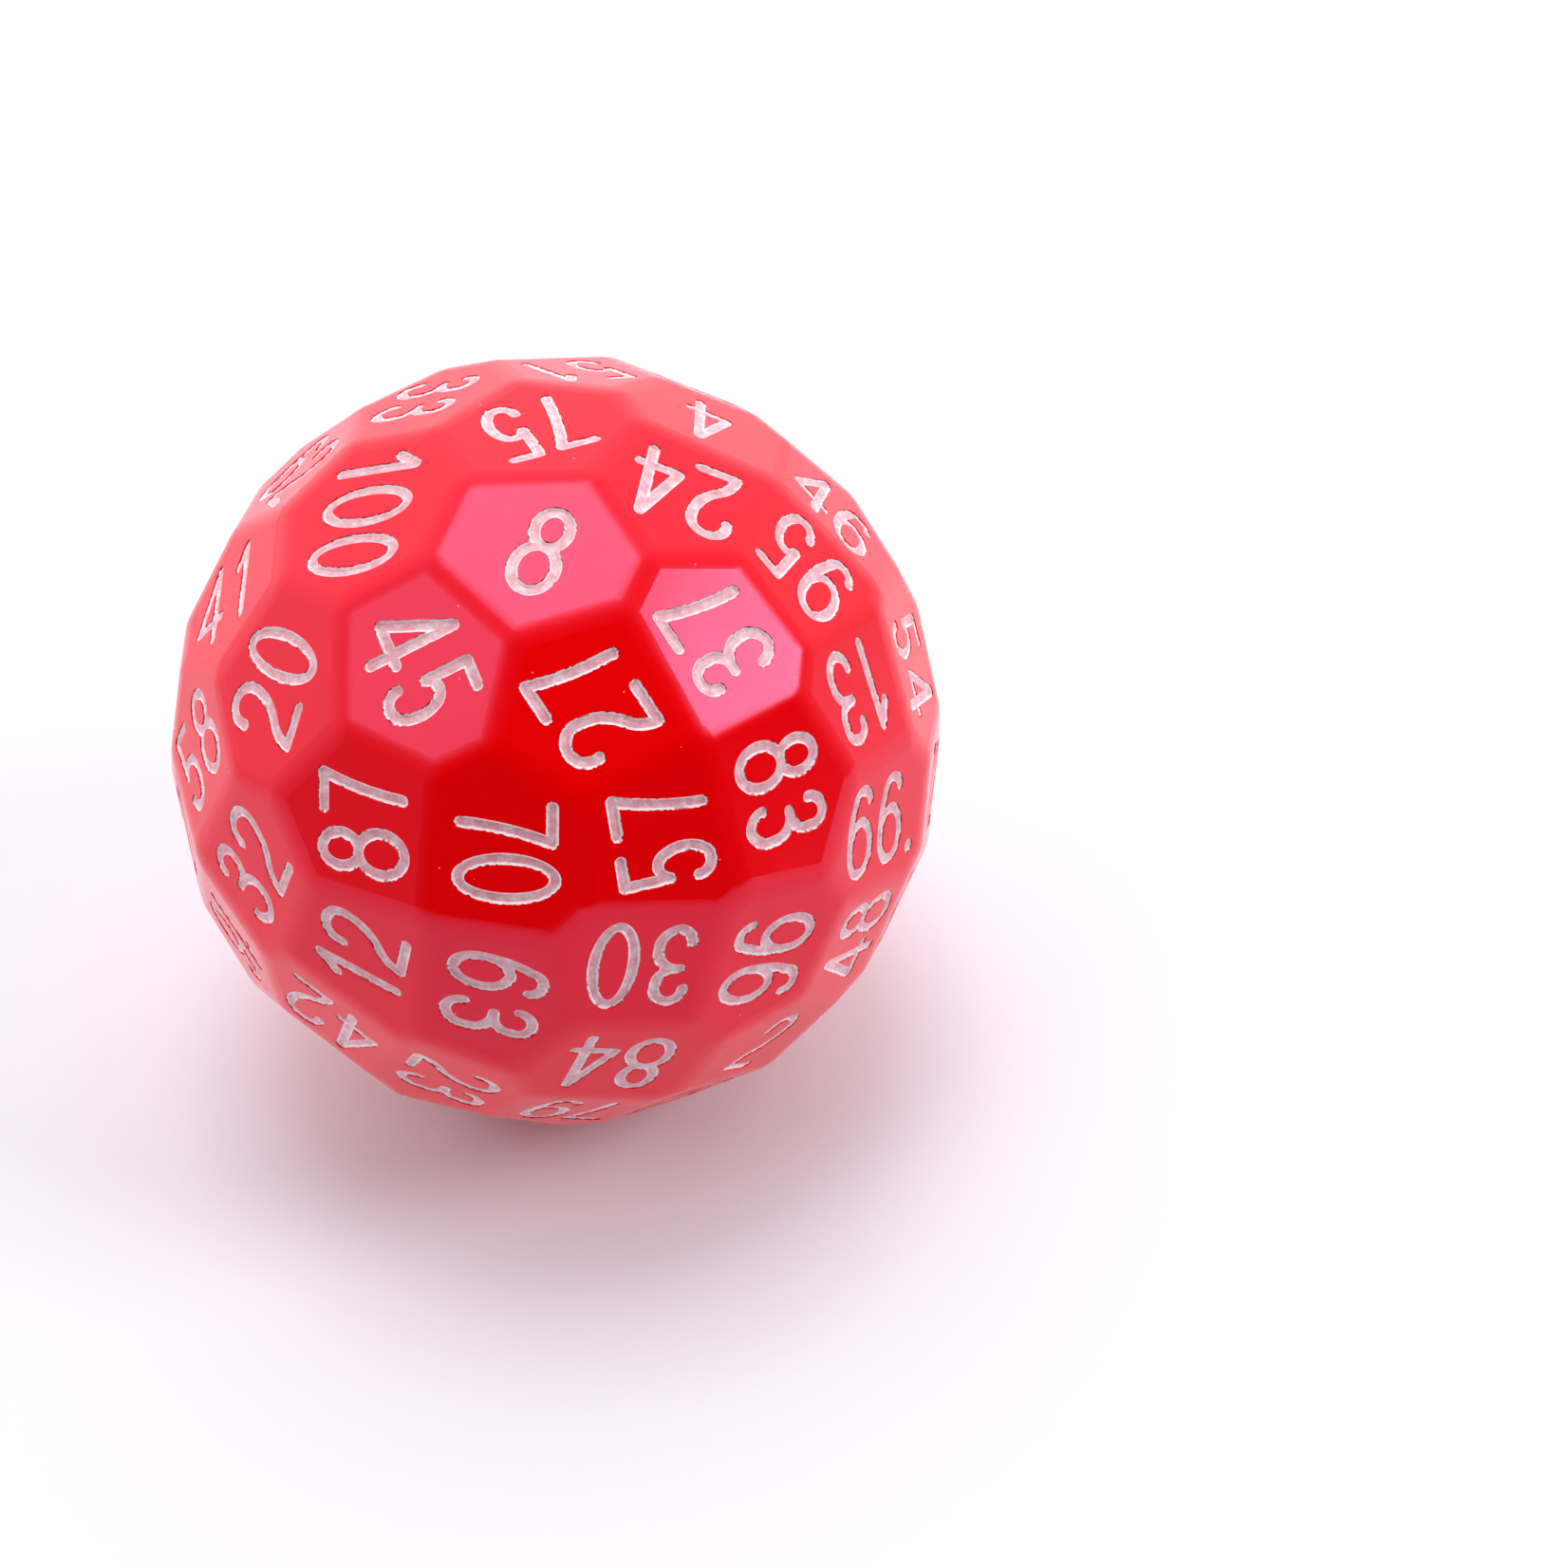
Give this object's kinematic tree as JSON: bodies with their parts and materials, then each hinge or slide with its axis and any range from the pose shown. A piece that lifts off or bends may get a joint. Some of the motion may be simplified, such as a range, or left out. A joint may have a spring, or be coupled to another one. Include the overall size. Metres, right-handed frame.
{
  "type": "polyhedral die",
  "caption": "Ball-shaped numbered die: flat polygonal facets with rounded edges, engraved painted numbers and a moulded-in core, for rolling a percentage.",
  "frame": {"origin": "the die's centre, where the lines between opposite facets cross", "axes": "+Z is the outward normal of the facet that is on top at rest, +X and +Y lie level, +Y points away from the viewer"},
  "size_m": [0.046, 0.0458, 0.045],
  "materials": {
    "body_acrylic": "polished moulded acrylic, opaque red",
    "core_acrylic": "as moulded, opaque red",
    "paint": "white filling paint, slightly recessed"
  },
  "bodies": {
    "root": {"core": "core_acrylic", "outer_body": "body_acrylic", "paint_1_and_100": "paint", "paint_2_and_99": "paint", "paint_3_and_98": "paint", "paint_4_and_97": "paint", "paint_5_and_96": "paint", "paint_6_and_95": "paint", "paint_7_and_94": "paint", "paint_8_and_93": "paint", "paint_9_and_92": "paint", "paint_10_and_91": "paint", "paint_11_and_90": "paint", "paint_12_and_89": "paint", "paint_13_and_88": "paint", "paint_14_and_87": "paint", "paint_15_and_86": "paint", "paint_16_and_85": "paint", "paint_17_and_84": "paint", "paint_18_and_83": "paint", "paint_19_and_82": "paint", "paint_20_and_81": "paint", "paint_21_and_80": "paint", "paint_22_and_79": "paint", "paint_23_and_78": "paint", "paint_24_and_77": "paint", "paint_25_and_76": "paint", "paint_26_and_75": "paint", "paint_27_and_74": "paint", "paint_28_and_73": "paint", "paint_29_and_72": "paint", "paint_30_and_71": "paint", "paint_31_and_70": "paint", "paint_32_and_69": "paint", "paint_33_and_68": "paint", "paint_34_and_67": "paint", "paint_35_and_66": "paint", "paint_36_and_65": "paint", "paint_37_and_64": "paint", "paint_38_and_63": "paint", "paint_39_and_62": "paint", "paint_40_and_61": "paint", "paint_41_and_60": "paint", "paint_42_and_59": "paint", "paint_43_and_58": "paint", "paint_44_and_57": "paint", "paint_45_and_56": "paint", "paint_46_and_55": "paint", "paint_47_and_54": "paint", "paint_48_and_53": "paint", "paint_49_and_52": "paint", "paint_50_and_51": "paint"}
  },
  "joints": []
}
